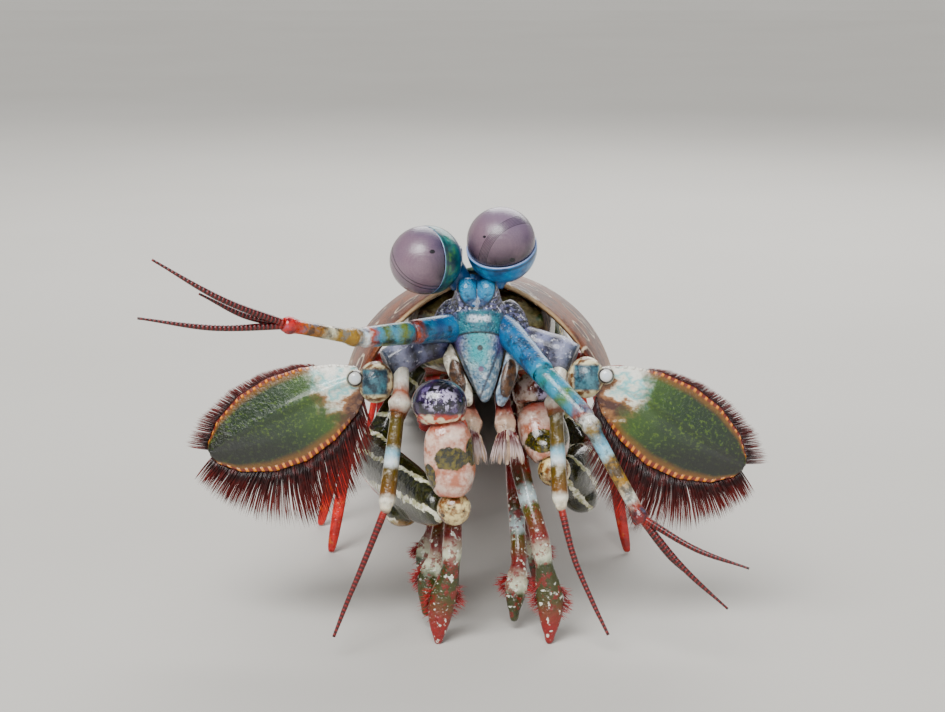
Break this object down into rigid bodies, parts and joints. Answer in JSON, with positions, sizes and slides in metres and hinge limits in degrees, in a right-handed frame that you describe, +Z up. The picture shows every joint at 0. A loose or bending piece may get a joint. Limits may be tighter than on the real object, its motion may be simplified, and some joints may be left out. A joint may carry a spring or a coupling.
{
  "type": "mantis shrimp model",
  "caption": "Life-size still model of a mantis shrimp standing on its limbs, with stalked eyes, feelers, fringed scales, folded clubs, legs and tail fan.",
  "frame": {"origin": "middle of the animal's length and width, on the floor it stands on", "axes": "-Y is the way the face looks, +Y runs towards the tail, +Z is up, +X is the animal's left side"},
  "size_m": [0.0638, 0.156, 0.0459],
  "materials": {
    "carapace_shell": "glossy pinkish brown shell with outlined brown spots",
    "trunk_shell": "glossy olive green shell plates with darker edges",
    "head_shell": "glossy turquoise blue and white shell",
    "cornea": "glossy lilac grey cornea with fine midband lines",
    "feelers": "banded blue, olive, orange and white shell",
    "scale_blade": "thin olive green blade with an orange beaded edge and maroon fringe",
    "jaws": "white mouth plates with brown centres",
    "club": "mottled purple black club with a pale rim",
    "claw_shell": "olive, cream and pinkish white shell",
    "mouth_limbs": "crimson and olive limbs with white spots",
    "legs": "bright orange red limbs",
    "swimmers": "red leaf shaped limbs",
    "tail_shell": "olive green tail plates with red keels and teeth"
  },
  "bodies": {
    "root": {"carapace": "carapace_shell", "front_thorax": "trunk_shell", "thorax_6": "trunk_shell", "thorax_7": "trunk_shell", "thorax_8": "trunk_shell", "abdomen_1": "trunk_shell", "abdomen_2": "trunk_shell", "abdomen_3": "trunk_shell", "abdomen_4": "trunk_shell", "abdomen_5": "trunk_shell", "abdomen_6": "trunk_shell", "head": "head_shell", "rostral_plate": "head_shell", "eye_stalk_left": "head_shell", "eye_stalk_right": "head_shell", "eye_left": "cornea", "eye_right": "cornea", "antennule_left": "feelers", "antennule_right": "feelers", "antenna_left": "feelers", "antenna_right": "feelers", "antennal_scale_left": "scale_blade", "antennal_scale_right": "scale_blade", "mandible_left": "jaws", "mandible_right": "jaws", "raptorial_dactyl_left": "club", "raptorial_dactyl_right": "club", "raptorial_merus_left": "claw_shell", "raptorial_merus_right": "claw_shell", "raptorial_carpus_left": "claw_shell", "raptorial_carpus_right": "claw_shell", "raptorial_propodus_left": "claw_shell", "raptorial_propodus_right": "claw_shell", "maxilliped_1_left": "mouth_limbs", "maxilliped_1_right": "mouth_limbs", "maxilliped_3_left": "mouth_limbs", "maxilliped_3_right": "mouth_limbs", "maxilliped_4_left": "mouth_limbs", "maxilliped_4_right": "mouth_limbs", "maxilliped_5_left": "mouth_limbs", "maxilliped_5_right": "mouth_limbs", "leg_1_left": "legs", "leg_1_right": "legs", "leg_2_left": "legs", "leg_2_right": "legs", "leg_3_left": "legs", "leg_3_right": "legs", "pleopod_1_left": "swimmers", "pleopod_1_right": "swimmers", "pleopod_2_left": "swimmers", "pleopod_2_right": "swimmers", "pleopod_3_left": "swimmers", "pleopod_3_right": "swimmers", "pleopod_4_left": "swimmers", "pleopod_4_right": "swimmers", "pleopod_5_left": "swimmers", "pleopod_5_right": "swimmers", "telson": "tail_shell", "uropod_left": "tail_shell", "uropod_right": "tail_shell"}
  },
  "joints": []
}
